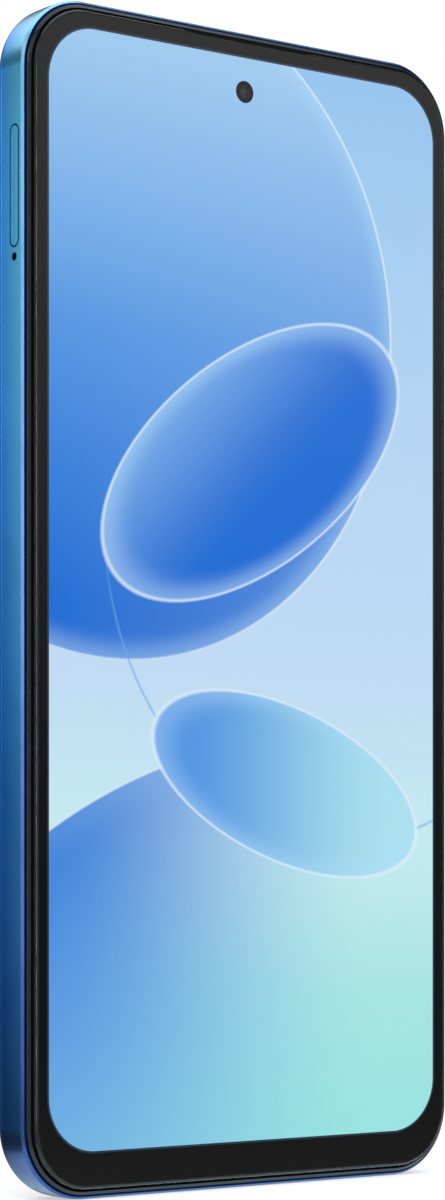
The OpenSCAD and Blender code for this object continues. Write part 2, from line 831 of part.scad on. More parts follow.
rear_cover();
mid_frame();
cover_glass();
display_panel();
backlight();
display_tape();
display_flex();
earpiece_mesh();
earpiece_case();
earpiece_diaphragm();
front_camera();
main_board();
soc_shield();
rf_shield();
board_chips();
board_cover();
board_screws();
graphite_sheet();
battery();
battery_tape();
battery_flex();
sub_board();
board_flex();
antenna_cable();
lower_screws();
usb_port();
usb_tongue();
headphone_jack();
bottom_mic();
mic_boot();
speaker_box();
speaker_lid();
speaker_magnet();
speaker_diaphragm();
speaker_mesh();
vibration_case();
vibration_rotor();
camera_island();
camera_rings();
camera_windows();
main_camera();
autofocus_lens();
second_camera();
flash_led();
flash_window();
sim_tray();
sim_socket();
eject_rod();
eject_lever();
lever_pin();
power_key();
fingerprint_sensor();
volume_key();
side_flex();
power_dome();
volume_domes();
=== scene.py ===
"""Looks for a flat-sided smartphone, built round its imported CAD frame.

Lengths are in millimetres until point() turns them into the frame's metres. A depth d runs from
the front of the cover glass towards the back, as in the CAD source.
"""

import math

import bmesh
import bpy
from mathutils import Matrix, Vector


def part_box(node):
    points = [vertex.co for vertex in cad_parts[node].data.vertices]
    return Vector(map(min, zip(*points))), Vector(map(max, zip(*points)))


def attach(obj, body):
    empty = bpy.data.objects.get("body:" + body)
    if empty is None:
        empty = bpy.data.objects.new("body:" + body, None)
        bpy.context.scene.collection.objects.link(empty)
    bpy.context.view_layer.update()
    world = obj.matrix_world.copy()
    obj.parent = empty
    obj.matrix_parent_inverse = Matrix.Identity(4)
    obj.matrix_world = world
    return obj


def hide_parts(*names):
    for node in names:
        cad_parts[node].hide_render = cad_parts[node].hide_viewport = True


MM = 0.001
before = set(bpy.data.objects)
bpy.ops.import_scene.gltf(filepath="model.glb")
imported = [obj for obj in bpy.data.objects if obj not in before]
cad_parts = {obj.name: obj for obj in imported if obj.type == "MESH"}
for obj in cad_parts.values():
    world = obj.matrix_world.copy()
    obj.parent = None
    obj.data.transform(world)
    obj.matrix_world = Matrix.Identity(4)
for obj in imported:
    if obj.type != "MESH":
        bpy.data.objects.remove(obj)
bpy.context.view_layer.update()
scene = bpy.context.scene

# ---------------------------------------------------------------- measures read from the frame


def node_box(name):
    """Lowest and highest (x, depth, z) of a CAD node, in millimetres."""
    lo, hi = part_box(name)
    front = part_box("cover_glass")[0].y
    return [Vector((p.x, p.y - front, p.z)) / MM for p in (lo, hi)]


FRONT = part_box("cover_glass")[0].y / MM
cover_lo, cover_hi = node_box("rear_cover")
panel_lo, panel_hi = node_box("display_panel")
ring_lo, ring_hi = node_box("camera_rings")
island_lo, island_hi = node_box("camera_island")
window_lo, window_hi = node_box("camera_windows")
flash_lo, flash_hi = node_box("flash_window")
tray_lo, tray_hi = node_box("sim_tray")

BODY_W = cover_hi.x - cover_lo.x
BODY_H = cover_hi.z - cover_lo.z
BODY_D = cover_hi.y
RAIL_X = BODY_W / 2
CORNER_R = 10.0
RIM_D = cover_lo.y
FLAT_START_D = RIM_D + 0.42
FLAT_END_D = BODY_D - 2.2
GLASS_INSET = 1.45
GLASS_D = node_box("cover_glass")[1].y

TRAY_Z = (tray_lo.z + tray_hi.z) / 2
TRAY_D = 3.14
TRAY_LEN, TRAY_W = 16.4, 1.9
PIN_Z = TRAY_Z - 9.6
KEY_D = 4.3
POWER_Z, POWER_LEN = 93.0, 16.0
VOLUME_Z, VOLUME_LEN = 117.0, 20.0
KEY_W = 2.2

PICTURE = (-34.2, 34.15, 6.65, 159.65)
PICTURE_R = 7.6
PUNCH_X, PUNCH_Z = -0.9, 154.85
PUNCH_R = 1.55
LENS_X = (ring_lo.x + ring_hi.x) / 2
RING_R, WINDOW_R, MASK_R = 6.6, 5.57, 5.5
LENS_ZS = (ring_hi.z - RING_R, ring_lo.z + RING_R)
LENS_WELL = 2 * RING_R + 0.1
FLASH_X, FLASH_Z = (flash_lo.x + flash_hi.x) / 2, (flash_lo.z + flash_hi.z) / 2
FLASH_HOLE, FLASH_R = 4.6, 2.22
PORT_D = 4.4
JACK_X, JACK_D = -24.0, 4.6
MIC_X = -12.0
GRILLE = [11.2 + 2.4 * i for i in range(6)]

# ---------------------------------------------------------------- shapes


def point(x, d, z):
    """A place given in millimetres, as the frame's metres."""
    return Vector((x, FRONT + d, z)) * MM


def arc(centre, radius, start, end, steps):
    """Points (a, b) along an arc between two angles in degrees."""
    turn = [math.radians(start + (end - start) * i / steps) for i in range(steps + 1)]
    return [(centre[0] + radius * math.cos(t), centre[1] + radius * math.sin(t)) for t in turn]


def round_rect(cx, cz, w, h, r, steps=24):
    """Outline of a round-cornered rectangle as (x, z) pairs."""
    outline = []
    for k, (sx, sz) in enumerate(((1, 1), (-1, 1), (-1, -1), (1, -1))):
        corner = (cx + sx * (w / 2 - r), cz + sz * (h / 2 - r))
        outline += arc(corner, r, 90 * k, 90 * (k + 1), steps)
    return outline


def plan(inset, steps=24):
    """Outline of the phone seen from the front, drawn in by a distance."""
    size = BODY_W - 2 * inset, BODY_H - 2 * inset
    return round_rect(0, BODY_H / 2, *size, CORNER_R - inset, steps)


def fillet(corners, steps=4):
    """Turns (a, b, radius) corners into a line of points whose corners are round."""
    line = []
    for k, (a, b, radius) in enumerate(corners):
        here = Vector((a, b))
        if radius == 0:
            line.append((a, b))
            continue
        back = (Vector(corners[k - 1][:2]) - here).normalized()
        ahead = (Vector(corners[k + 1][:2]) - here).normalized()
        half = back.angle(ahead) / 2
        centre = here + (back + ahead).normalized() * radius / math.sin(half)
        start = here + back * radius / math.tan(half) - centre
        end = here + ahead * radius / math.tan(half) - centre
        sweep = start.angle_signed(end)
        for i in range(steps + 1):
            turn = -sweep * i / steps
            c, s = math.cos(turn), math.sin(turn)
            line.append((centre.x + start.x * c - start.y * s, centre.y + start.x * s + start.y * c))
    return line


def loft(name, rings, closed=False):
    """Skins rings of points, each with as many points, into a closed solid."""
    count = len(rings[0])
    faces = []
    for k in range(len(rings) if closed else len(rings) - 1):
        a, b = k * count, (k + 1) % len(rings) * count
        for i in range(count):
            j = (i + 1) % count
            faces.append((a + i, a + j, b + j, b + i))
    points = [p for ring in rings for p in ring]
    if not closed:
        faces.append(tuple(range(count)))
        faces.append(tuple(range(len(points) - count, len(points))))
    mesh = bpy.data.meshes.new(name)
    mesh.from_pydata(points, [], faces)
    bm = bmesh.new()
    bm.from_mesh(mesh)
    bmesh.ops.remove_doubles(bm, verts=bm.verts, dist=1e-7)
    bmesh.ops.recalc_face_normals(bm, faces=bm.faces)
    bm.to_mesh(mesh)
    bm.free()
    obj = bpy.data.objects.new(name, mesh)
    scene.collection.objects.link(obj)
    return obj


def plan_loft(name, section, closed=False, outline=plan):
    """A solid that runs round the phone: each (inset, depth) of the section is one ring."""
    rings = [[point(x, d, z) for x, z in outline(inset)] for inset, d in section]
    return loft(name, rings, closed)


def capsule(name, axis, centre, length, width, stops, closed=False, steps=14):
    """Sweeps a slot with round ends, or a circle where length is width, along an axis.

    Each stop is (place on the axis, how far the outline grows). The centre is (depth, z) on the
    x axis, (x, depth) on the z axis and (x, z) on the depth axis d.
    """
    place = {
        "x": lambda a, b, t: point(t, centre[0] + b, centre[1] + a),
        "z": lambda a, b, t: point(centre[0] + a, centre[1] + b, t),
        "d": lambda a, b, t: point(centre[0] + b, t, centre[1] + a),
    }[axis]
    half = (length - width) / 2
    rings = []
    for t, grow in stops:
        radius = width / 2 + grow
        outline = arc((half, 0), radius, -90, 90, steps) + arc((-half, 0), radius, 90, 270, steps)
        rings.append([place(a, b, t) for a, b in outline])
    return loft(name, rings, closed)


def turned(name, centre, radius, profile, closed=False, steps=24):
    """A round piece about the depth axis, from (depth, radius) points."""
    stops = [(d, r - radius) for d, r in profile]
    return capsule(name, "d", centre, 2 * radius, 2 * radius, stops, closed, steps)


def keep_evaluated(obj):
    """Turns the modifiers into plain mesh."""
    graph = bpy.context.evaluated_depsgraph_get()
    mesh = bpy.data.meshes.new_from_object(obj.evaluated_get(graph))
    obj.modifiers.clear()
    obj.data = mesh


def combine(target, tools, operation="DIFFERENCE"):
    """Cuts the tools out of the target, or joins them to it."""
    for tool in tools:
        change = target.modifiers.new(operation, "BOOLEAN")
        change.object = tool
        change.operation = operation
        change.solver = "EXACT"
    keep_evaluated(target)
    for tool in tools:
        bpy.data.objects.remove(tool)
    return target


def gather(name, objects):
    """Puts separate solids into one piece."""
    bm = bmesh.new()
    for obj in objects:
        bm.from_mesh(obj.data)
    mesh = bpy.data.meshes.new(name)
    bm.to_mesh(mesh)
    bm.free()
    for obj in objects:
        bpy.data.objects.remove(obj)
    made = bpy.data.objects.new(name, mesh)
    scene.collection.objects.link(made)
    return made


def settle(obj, body, materials, replaces=(), sharp_deg=32):
    """Gives a finished piece its materials, shading and body, and hides the CAD nodes it replaces."""
    obj.data.materials.clear()
    for material in materials:
        obj.data.materials.append(material)
    obj.data.shade_smooth()
    obj.data.set_sharp_from_angle(angle=math.radians(sharp_deg))
    normals = obj.modifiers.new("normals", "WEIGHTED_NORMAL")
    normals.keep_sharp = True
    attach(obj, body)
    if replaces:
        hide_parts(*replaces)
    return obj


def paint_faces(obj, index, test):
    """Gives a material slot to the faces whose middle (x, d, z) and normal pass a test."""
    for face in obj.data.polygons:
        c = face.center / MM
        if test(c.x, c.y - FRONT, c.z, face.normal):
            face.material_index = index


# ---------------------------------------------------------------- materials


def colour(r, g, b):
    """A display colour from 0 to 255 as linear light, with alpha."""
    shares = (r / 255, g / 255, b / 255)
    lin = [c / 12.92 if c <= 0.04045 else ((c + 0.055) / 1.055) ** 2.4 for c in shares]
    return (*lin, 1.0)


WAVE_SCALE = 0.314  # the wave node's scale for one band per millimetre


class Nodes:
    """Writes a node tree in a few words: each call adds a node and returns its socket."""

    def __init__(self, tree):
        self.tree = tree

    def link(self, value, socket):
        if isinstance(value, bpy.types.NodeSocket):
            self.tree.links.new(value, socket)
        else:
            socket.default_value = value

    def vector(self, operation, a, b=None, scale=None):
        node = self.tree.nodes.new("ShaderNodeVectorMath")
        node.operation = operation
        self.link(a, node.inputs[0])
        if b is not None:
            self.link(b, node.inputs[1])
        if scale is not None:
            node.inputs["Scale"].default_value = scale
        return node.outputs[0]

    def math(self, operation, a, b=0.0, clamp=False):
        node = self.tree.nodes.new("ShaderNodeMath")
        node.operation = operation
        node.use_clamp = clamp
        self.link(a, node.inputs[0])
        self.link(b, node.inputs[1])
        return node.outputs[0]

    def axes(self, vector):
        node = self.tree.nodes.new("ShaderNodeSeparateXYZ")
        self.link(vector, node.inputs[0])
        return node.outputs

    def span(self, value, low, high, start=0.0, end=1.0, smooth=True):
        node = self.tree.nodes.new("ShaderNodeMapRange")
        node.interpolation_type = "SMOOTHSTEP" if smooth else "LINEAR"
        for socket, v in zip(node.inputs, (value, low, high, start, end)):
            self.link(v, socket)
        return node.outputs[0]

    def mix(self, share, a, b, blend="MIX"):
        node = self.tree.nodes.new("ShaderNodeMix")
        node.data_type = "RGBA"
        node.blend_type = blend
        self.link(share, node.inputs[0])
        self.link(a, node.inputs[6])
        self.link(b, node.inputs[7])
        return node.outputs[2]

    def ramp(self, value, stops):
        node = self.tree.nodes.new("ShaderNodeValToRGB")
        band = node.color_ramp.elements
        while len(band) < len(stops):
            band.new(0.5)
        for element, (place, rgba) in zip(band, sorted(stops)):
            element.position = place
            element.color = rgba
        self.link(value, node.inputs[0])
        return node.outputs[0]


class Shader(Nodes):
    """A node material whose patterns are sized in millimetres."""

    def __init__(self, name, base=(0.5, 0.5, 0.5, 1), **values):
        self.material = bpy.data.materials.new(name)
        self.material.use_nodes = True
        super().__init__(self.material.node_tree)
        self.bsdf = self.tree.nodes["Principled BSDF"]
        self.bsdf.inputs["Base Color"].default_value = base
        for key, value in values.items():
            socket = key.replace("_", " ").title().replace("Ior", "IOR")
            self.bsdf.inputs[socket].default_value = value
        coords = self.tree.nodes.new("ShaderNodeTexCoord").outputs["Object"]
        self.mm = self.vector("SCALE", coords, scale=1 / MM)

    def noise(self, size, detail=3.0, stretch=(1, 1, 1)):
        node = self.tree.nodes.new("ShaderNodeTexNoise")
        self.link(self.vector("MULTIPLY", self.mm, stretch), node.inputs["Vector"])
        node.inputs["Scale"].default_value = 1 / size
        node.inputs["Detail"].default_value = detail
        return node.outputs[0]

    def waves(self, size, direction):
        node = self.tree.nodes.new("ShaderNodeTexWave")
        node.wave_type = "BANDS"
        node.bands_direction = direction
        self.link(self.mm, node.inputs["Vector"])
        node.inputs["Scale"].default_value = WAVE_SCALE / size
        return node.outputs["Fac"]

    def bump(self, height, depth_mm):
        node = self.tree.nodes.new("ShaderNodeBump")
        node.inputs["Distance"].default_value = depth_mm * MM
        self.link(height, node.inputs["Height"])
        self.tree.links.new(node.outputs[0], self.bsdf.inputs["Normal"])

    def set(self, name, value):
        self.link(value, self.bsdf.inputs[name])


def tinted(base, share):
    """A colour made darker or lighter."""
    return (*[c * share for c in base[:3]], 1.0)


# The paint's colour up the height in millimetres, given twice: a lit copy (painted light, for the front
# of the rails) and a shaded copy (painted shade, for the back).
PAINT_SUNLIT = [
    (13, (0.065, 0.115, 0.30)),
    (27, (0.105, 0.200, 0.48)),
    (55, (0.165, 0.310, 0.64)),
    (82, (0.230, 0.480, 0.86)),
    (107, (0.290, 0.620, 0.97)),
    (149, (0.300, 0.740, 0.98)),
]
PAINT_SHADED = [
    (13, (0.002, 0.030, 0.15)),
    (27, (0.003, 0.052, 0.27)),
    (55, (0.012, 0.118, 0.46)),
    (82, (0.042, 0.205, 0.68)),
    (107, (0.062, 0.290, 0.82)),
    (149, (0.060, 0.350, 0.88)),
]


def blue_paint(name, lift=1.0, roughness=0.27, coat=0.1):
    """Satin metallic blue, light at the top to navy at the bottom, with painted light on the front of
    the rails and painted shade deepening it towards the back.
    """
    s = Shader(name, metallic=1.0, coat_weight=coat, coat_roughness=0.1)
    _, y, z = s.axes(s.mm)
    height = s.span(z, 0, BODY_H, smooth=False)
    # Painted light and shade: the lit copy towards the front of the rails, the shaded copy towards the
    # back.
    sunlit_share = s.span(y, FRONT + FLAT_END_D, FRONT + RIM_D + 0.3, smooth=False)
    flake = s.noise(0.1, detail=2.0)
    tones = []
    for stops in (PAINT_SHADED, PAINT_SUNLIT):
        tones.append(s.ramp(height, [(h / BODY_H, tinted(rgb, lift)) for h, rgb in stops]))
    tone = s.mix(sunlit_share, *tones)
    s.set("Base Color", s.mix(s.span(flake, 0.3, 0.7), s.mix(0.14, tone, (0, 0, 0, 1)), tone))
    s.set("Roughness", s.span(s.noise(9.0, detail=2.0), 0.3, 0.7, roughness - 0.03, roughness + 0.04))
    s.bump(flake, 0.0025)
    return s.material


def plastic(name, base, roughness, size=0.25, depth_mm=0.006, **values):
    """Moulded plastic with a fine grain."""
    s = Shader(name, **values)
    grain = s.noise(size)
    s.set("Base Color", s.mix(grain, tinted(base, 0.8), tinted(base, 1.2)))
    s.set("Roughness", s.span(s.noise(size * 14), 0.3, 0.7, roughness - 0.05, roughness + 0.07))
    s.bump(grain, depth_mm)
    return s.material


def metal(name, base, roughness, stretch=(1, 1, 12), size=0.2, depth_mm=0.003, **values):
    """Metal with fine drawn lines along one axis."""
    s = Shader(name, metallic=1.0, **values)
    lines = s.noise(size, detail=4.0, stretch=stretch)
    s.set("Base Color", s.mix(lines, tinted(base, 0.82), tinted(base, 1.12)))
    s.set("Roughness", s.span(lines, 0.25, 0.75, roughness - 0.06, roughness + 0.08))
    s.bump(lines, depth_mm)
    return s.material


def woven(name, base, size):
    """Fine acoustic gauze: two crossed sets of wires."""
    s = Shader(name, roughness=0.5, specular_ior_level=0.1)
    cloth = s.math("MAXIMUM", s.waves(size, "X"), s.waves(size, "Z"))
    s.set("Base Color", s.mix(cloth, tinted(base, 0.15), base))
    s.bump(cloth, size * 0.5)
    return s.material


def circuit(name, base):
    """Board with a solder mask over copper lines, and pads."""
    s = Shader(name, roughness=0.38, coat_weight=0.3, coat_roughness=0.2)
    brick = s.tree.nodes.new("ShaderNodeTexBrick")
    x, _, z = s.axes(s.mm)
    flat = s.tree.nodes.new("ShaderNodeCombineXYZ")
    s.link(x, flat.inputs[0])
    s.link(z, flat.inputs[1])
    s.link(flat.outputs[0], brick.inputs["Vector"])
    for key, value in (("Scale", 1.0), ("Mortar Size", 0.09), ("Brick Width", 3.1), ("Row Height", 0.9)):
        brick.inputs[key].default_value = value
    s.link(tinted(base, 1.0), brick.inputs["Color1"])
    s.link(tinted(base, 0.75), brick.inputs["Color2"])
    s.link(tinted(base, 2.2), brick.inputs["Mortar"])
    s.set("Base Color", s.mix(s.span(s.noise(1.6), 0.62, 0.64), brick.outputs[0], colour(190, 170, 90)))
    s.bump(brick.outputs["Fac"], 0.03)
    return s.material


def film(name, base, roughness=0.35, line=1.4, **values):
    """Polyimide or foil film with faint straight lines in it."""
    s = Shader(name, **values)
    lines = s.math("MULTIPLY", s.waves(line, "X"), s.noise(6.0, detail=1.0))
    s.set("Base Color", s.mix(lines, tinted(base, 0.75), tinted(base, 1.25)))
    s.set("Roughness", s.span(s.noise(2.0), 0.3, 0.7, roughness - 0.08, roughness + 0.08))
    s.bump(lines, 0.02)
    return s.material


def clear_glass(name, mirror=1.0):
    """Cover glass: clear, with only its own reflection and the faintest wipe marks."""
    s = Shader(name, base=(0.0, 0.0, 0.0, 1), roughness=0.03)
    nodes = s.tree.nodes
    through = nodes.new("ShaderNodeBsdfTransparent")
    gloss = nodes.new("ShaderNodeBsdfGlossy")
    gloss.inputs["Color"].default_value = (mirror, mirror, mirror, 1)
    s.link(s.span(s.noise(14.0), 0.35, 0.75, 0.015, 0.05), gloss.inputs["Roughness"])
    fresnel = nodes.new("ShaderNodeFresnel")
    fresnel.inputs["IOR"].default_value = 1.5
    outside = s.math("SUBTRACT", 1.0, nodes.new("ShaderNodeNewGeometry").outputs["Backfacing"])
    blend = nodes.new("ShaderNodeMixShader")
    s.link(s.math("MULTIPLY", fresnel.outputs[0], outside), blend.inputs[0])
    s.link(through.outputs[0], blend.inputs[1])
    s.link(gloss.outputs[0], blend.inputs[2])
    s.link(blend.outputs[0], nodes["Material Output"].inputs["Surface"])
    nodes.remove(s.bsdf)
    return s.material


def coated_lens(name, tint):
    """Dark lens glass whose anti-reflection coat shows colour towards its rim."""
    s = Shader(name, roughness=0.06)
    edge = s.tree.nodes.new("ShaderNodeLayerWeight")
    edge.inputs["Blend"].default_value = 0.45
    dark = s.mix(s.noise(1.5), (0.004, 0.004, 0.006, 1), (0.012, 0.010, 0.016, 1))
    s.set("Base Color", s.mix(edge.outputs["Facing"], dark, tint))
    return s.material


# ---------------------------------------------------------------- the picture on the screen

WHITE_BLUE = colour(226, 242, 255)
GLOW_BLUE = colour(178, 220, 255)


class Wallpaper(Shader):
    """A plain design of overlapping discs on a blue to mint fade, lit by the panel itself."""

    def __init__(self, name):
        super().__init__(name, base=(0, 0, 0, 1), roughness=0.4)
        x0, x1, z0, z1 = PICTURE
        self.x, _, self.z = self.axes(self.mm)
        self.u = self.span(self.x, x0, x1, smooth=False)
        self.v = self.span(self.z, z0, z1, smooth=False)

    def times(self, a, b):
        return self.math("MULTIPLY", a, b)

    def length(self, a, b):
        return self.math("SQRT", self.math("ADD", self.times(a, a), self.times(b, b)))

    def hairline(self, within, width):
        """A thin line along an outline, fading over its width on both sides."""
        away = self.math("DIVIDE", self.math("ABSOLUTE", within), width)
        return self.math("SUBTRACT", 1.0, away, clamp=True)

    def past(self, value, centre, half):
        """How far a value is beyond a span about its centre, or zero within it."""
        away = self.math("ABSOLUTE", self.math("SUBTRACT", value, centre))
        return self.math("MAXIMUM", self.math("SUBTRACT", away, half), 0.0)

    def inside(self, centre, radii, tilt=0.0):
        """How far a point is inside an ellipse, in millimetres."""
        c, s = math.cos(math.radians(tilt)), math.sin(math.radians(tilt))
        dx = self.math("SUBTRACT", self.x, centre[0])
        dz = self.math("SUBTRACT", self.z, centre[1])
        a_x, a_z = self.times(dx, c / radii[0]), self.times(dz, s / radii[0])
        b_x, b_z = self.times(dx, s / radii[1]), self.times(dz, c / radii[1])
        far = self.length(self.math("ADD", a_x, a_z), self.math("SUBTRACT", b_z, b_x))
        return self.times(self.math("SUBTRACT", 1.0, far), min(radii))

    def lay(self, under, fill, within, rim, glow, reach):
        """Lays a filled disc with a bright rim and a soft glow inside it over a colour."""
        soft = self.span(within, reach, 0.0)
        soft = self.times(self.times(soft, soft), glow)
        fill = self.mix(soft, fill, GLOW_BLUE)
        line = self.times(self.hairline(within, 0.28), rim)
        over = self.mix(self.span(within, -0.1, 0.1), under, fill)
        return self.mix(line, over, WHITE_BLUE)

    def paint(self):
        pale = self.ramp(
            self.v,
            [
                (0.00, colour(152, 229, 226)),
                (0.14, colour(168, 231, 230)),
                (0.28, colour(200, 238, 244)),
                (0.42, colour(197, 224, 248)),
                (0.62, colour(188, 218, 247)),
                (0.80, colour(172, 210, 245)),
                (1.00, colour(150, 198, 241)),
            ],
        )
        sky = self.ramp(
            self.v,
            [
                (0.40, colour(34, 110, 212)),
                (0.50, colour(38, 115, 216)),
                (0.62, colour(60, 132, 223)),
                (0.74, colour(86, 152, 229)),
                (0.86, colour(125, 180, 236)),
                (1.00, colour(160, 204, 241)),
            ],
        )
        sky = self.mix(self.times(self.u, 0.28), sky, colour(168, 206, 244))
        lower_left = self.ramp(
            self.v,
            [
                (0.00, colour(110, 178, 229)),
                (0.10, colour(92, 158, 229)),
                (0.28, colour(52, 128, 220)),
                (0.42, colour(40, 118, 216)),
            ],
        )
        lower = self.mix(self.span(self.u, -0.05, 0.85), lower_left, pale)
        rise = self.inside((-22, 122), (48, 48))
        base = self.lay(pale, sky, rise, self.span(self.x, -24, 20, 0.2, 0.9), 0.35, 5)
        hill = self.inside((14, -28), (92, 92))
        base = self.lay(base, lower, hill, self.span(self.x, 26, -30, 0.0, 0.6), 0.12, 7)

        ring = self.inside((18, 92), (43, 43))
        line = self.times(self.hairline(ring, 0.3), self.span(self.z, 96, 74))
        base = self.mix(self.times(line, 0.7), base, colour(110, 170, 235))

        upper = self.inside((1, 103), (30, 15), 33)
        across = self.span(self.math("SUBTRACT", self.x, self.z), -142, -92)
        deep = self.mix(across, colour(140, 192, 243), colour(36, 112, 215))
        base = self.lay(base, deep, upper, 0.8, 0.45, 4)

        small = self.inside((7, 57), (25, 11), -19)
        drift = self.span(self.x, -16, 30)
        water = self.mix(drift, colour(78, 148, 230), colour(172, 230, 240))
        base = self.lay(base, water, small, 0.8, 0.4, 4)
        return base

    def finish(self):
        """A faint navy glow on the panel border outside the picture, painted light for the light that
        bleeds from the picture, and the picture as light, less what the glass adds.
        """
        x0, x1, z0, z1 = PICTURE
        out_x = self.past(self.x, (x0 + x1) / 2, (x1 - x0) / 2 - PICTURE_R)
        out_z = self.past(self.z, (z0 + z1) / 2, (z1 - z0) / 2 - PICTURE_R)
        corner = self.length(out_x, out_z)
        lit = self.span(corner, PICTURE_R + 0.03, PICTURE_R - 0.03)
        veil = self.mix(self.span(self.v, 0.12, 0.5), (0.004, 0.004, 0.004, 1), (0.030, 0.030, 0.030, 1))
        picture = self.mix(1.0, self.paint(), veil, "SUBTRACT")
        # The navy glow outside the picture is painted light for the picture's bleed onto the border.
        self.set("Emission Color", self.mix(lit, (0.004, 0.018, 0.045, 1), picture))
        self.bsdf.inputs["Emission Strength"].default_value = 1.0
        return self.material


# ---------------------------------------------------------------- camera, floor and light

camera_data = bpy.data.cameras.new("camera")
camera_data.lens = 95.64
camera_data.sensor_width = 36
camera_data.shift_x = 0.0003
camera_data.shift_y = 0.2128
camera_data.clip_start = 0.01
camera = bpy.data.objects.new("camera", camera_data)
camera.location = (-0.2752, -0.3620, 0.0470)
camera.rotation_euler = (math.radians(90), 0, math.radians(-37.11))
scene.collection.objects.link(camera)
scene.camera = camera
scene.view_settings.view_transform = "Standard"
scene.view_settings.look = "None"


WHITE = (1.0, 1.0, 1.0)
COOL = (0.66, 1.10, 1.15)
DEEP = (0.25, 0.95, 1.15)
SKY = (0.80, 0.88, 1.15)


# Each stop is a compass direction in degrees (0 is behind the phone, 90 is +X), a brightness and
# a tint. The low band gives way to the high one with height. The strip at -130 degrees draws the
# highlight along the glass edge and the chamfer, and the one at -20 lights the rail's rear edge.
LOW_BAND = [
    (-180, 0.60, WHITE), (-150, 0.45, WHITE), (-136, 0.45, WHITE), (-133, 5.60, WHITE),
    (-126, 5.60, WHITE), (-122, 0.60, SKY), (-75, 0.62, SKY), (-52, 0.70, DEEP),
    (-38, 0.40, DEEP), (-27, 0.27, DEEP), (-23, 1.40, DEEP), (-18, 1.40, DEEP),
    (-14, 0.02, WHITE), (80, 0.05, WHITE), (100, 0.50, WHITE), (128, 0.16, WHITE),
    (143, 0.10, WHITE), (165, 0.10, WHITE), (172, 0.60, WHITE),
]
HIGH_BAND = [
    (-180, 0.80, WHITE), (-150, 0.50, WHITE), (-136, 0.50, WHITE), (-133, 5.60, WHITE),
    (-126, 5.60, WHITE), (-122, 0.66, SKY), (-75, 0.68, SKY), (-52, 0.70, COOL),
    (-38, 0.54, COOL), (-27, 0.52, COOL), (-23, 1.80, COOL), (-18, 1.80, COOL),
    (-14, 0.02, WHITE), (80, 0.06, WHITE), (100, 0.70, WHITE), (128, 0.70, WHITE),
    (143, 0.76, WHITE), (165, 0.70, WHITE), (172, 0.80, WHITE),
]
UPPER_BAND = [
    (-180, 0.60, WHITE), (-112, 0.90, WHITE), (-60, 0.80, WHITE), (-30, 1.00, WHITE),
    (0, 1.30, WHITE), (14, 1.00, WHITE), (28, 0.08, WHITE), (85, 0.08, WHITE),
    (120, 0.30, WHITE), (180, 0.60, WHITE),
]
UNDER_BAND = [
    (-180, 0.60, WHITE), (-60, 0.60, SKY), (-45, 0.14, COOL), (-22, 0.14, COOL),
    (-14, 0.30, WHITE), (180, 0.60, WHITE),
]
SHADE_BAND = [
    (-180, 1.00, WHITE), (-140, 1.00, WHITE), (-136, 0.35, WHITE), (-122, 0.35, WHITE),
    (-118, 1.00, WHITE), (-58, 1.00, WHITE), (-46, 0.10, WHITE), (-24, 0.10, WHITE),
    (-14, 1.00, WHITE),
]
ZENITH_RIM = (0.25, 0.25, 0.25, 1)
ZENITH = (1.20, 1.25, 1.40, 1)
GROUND = (0.95, 1.25, 1.35, 1)


def build_world():
    """Soft studio surround: its brightness changes with compass direction and height."""
    world = bpy.data.worlds.new("studio")
    world.use_nodes = True
    scene.world = world
    s = Nodes(world.node_tree)
    nodes = s.tree.nodes
    direction = nodes.new("ShaderNodeTexCoord").outputs["Generated"]
    x, y, z = s.axes(direction)
    turn = s.math("ARCTAN2", x, y)
    turn = s.span(turn, -math.pi, math.pi, smooth=False)

    def band(stops):
        return s.ramp(turn, [((angle + 180) / 360, tinted(tone, level)) for angle, level, tone in stops])

    low = band(LOW_BAND)
    high = band(HIGH_BAND)
    upper = band(UPPER_BAND)
    level = s.mix(s.span(z, -0.02, 0.30), low, high)
    level = s.mix(s.span(z, 0.40, 0.55), level, upper)
    level = s.mix(s.span(z, 0.66, 0.78), level, ZENITH_RIM)
    level = s.mix(s.span(z, 0.77, 0.83), level, ZENITH)
    under = band(UNDER_BAND)
    level = s.mix(s.span(z, -0.06, -0.18), level, under)
    level = s.mix(s.span(z, -0.36, -0.46), level, GROUND)
    shade = band(SHADE_BAND)
    shaded = s.math("MULTIPLY", s.span(z, 0.235, 0.265), s.span(z, 0.52, 0.42))
    level = s.mix(shaded, level, s.mix(1.0, level, shade, "MULTIPLY"))
    path = nodes.new("ShaderNodeLightPath")
    level = s.mix(path.outputs["Is Camera Ray"], level, (1, 1, 1, 1))
    s.link(level, nodes["Background"].inputs["Color"])


def area_light(name, place, aim, size, power):
    data = bpy.data.lights.new(name, "AREA")
    data.shape = "SQUARE"
    data.size = size
    data.energy = power
    lamp = bpy.data.objects.new(name, data)
    lamp.location = place
    lamp.rotation_euler = (Vector(aim) - Vector(place)).to_track_quat("-Z", "Y").to_euler()
    lamp.visible_camera = False
    lamp.visible_glossy = False
    scene.collection.objects.link(lamp)
    return lamp


